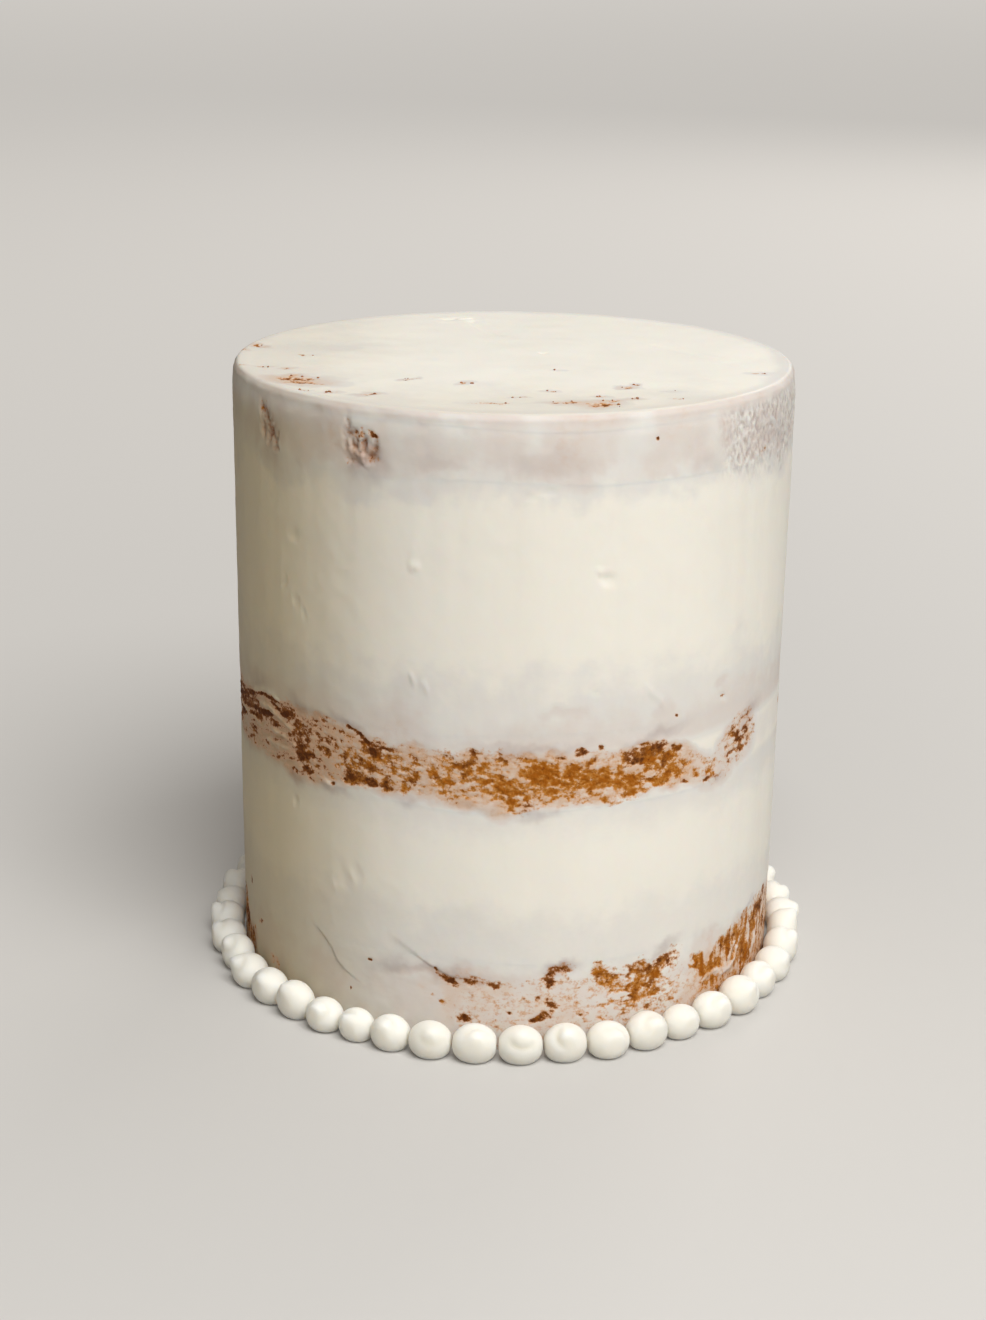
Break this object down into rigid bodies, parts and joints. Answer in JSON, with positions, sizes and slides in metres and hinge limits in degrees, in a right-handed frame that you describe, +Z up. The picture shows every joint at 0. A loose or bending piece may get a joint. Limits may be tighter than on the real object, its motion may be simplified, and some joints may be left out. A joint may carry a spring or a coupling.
{
  "type": "naked cake",
  "caption": "Tall round semi-naked layer cake with bare sponge bands, scraped buttercream and a border of piped icing beads.",
  "frame": {"origin": "centre of the cake's base, on the surface it stands on", "axes": "+Z up through the cake's axis, -Y towards the side shown in the picture"},
  "size_m": [0.1742, 0.1747, 0.171],
  "materials": {
    "sponge": "open moist crumb, part filled with cream",
    "buttercream": "scraped smooth, soft satin",
    "icing": "spread with a palette knife, soft satin",
    "piped_icing": "piped smooth, soft satin"
  },
  "bodies": {
    "root": {"sponge_bottom": "sponge", "cream_lower": "buttercream", "sponge_middle": "sponge", "cream_upper": "buttercream", "sponge_top": "sponge", "icing_top": "icing", "bead_01": "piped_icing", "bead_02": "piped_icing", "bead_03": "piped_icing", "bead_04": "piped_icing", "bead_05": "piped_icing", "bead_06": "piped_icing", "bead_07": "piped_icing", "bead_08": "piped_icing", "bead_09": "piped_icing", "bead_10": "piped_icing", "bead_11": "piped_icing", "bead_12": "piped_icing", "bead_13": "piped_icing", "bead_14": "piped_icing", "bead_15": "piped_icing", "bead_16": "piped_icing", "bead_17": "piped_icing", "bead_18": "piped_icing", "bead_19": "piped_icing", "bead_20": "piped_icing", "bead_21": "piped_icing", "bead_22": "piped_icing", "bead_23": "piped_icing", "bead_24": "piped_icing", "bead_25": "piped_icing", "bead_26": "piped_icing", "bead_27": "piped_icing", "bead_28": "piped_icing", "bead_29": "piped_icing", "bead_30": "piped_icing", "bead_31": "piped_icing", "bead_32": "piped_icing", "bead_33": "piped_icing", "bead_34": "piped_icing", "bead_35": "piped_icing", "bead_36": "piped_icing", "bead_37": "piped_icing", "bead_38": "piped_icing", "bead_39": "piped_icing", "bead_40": "piped_icing", "bead_41": "piped_icing", "bead_42": "piped_icing", "bead_43": "piped_icing", "bead_44": "piped_icing", "bead_45": "piped_icing"}
  },
  "joints": []
}
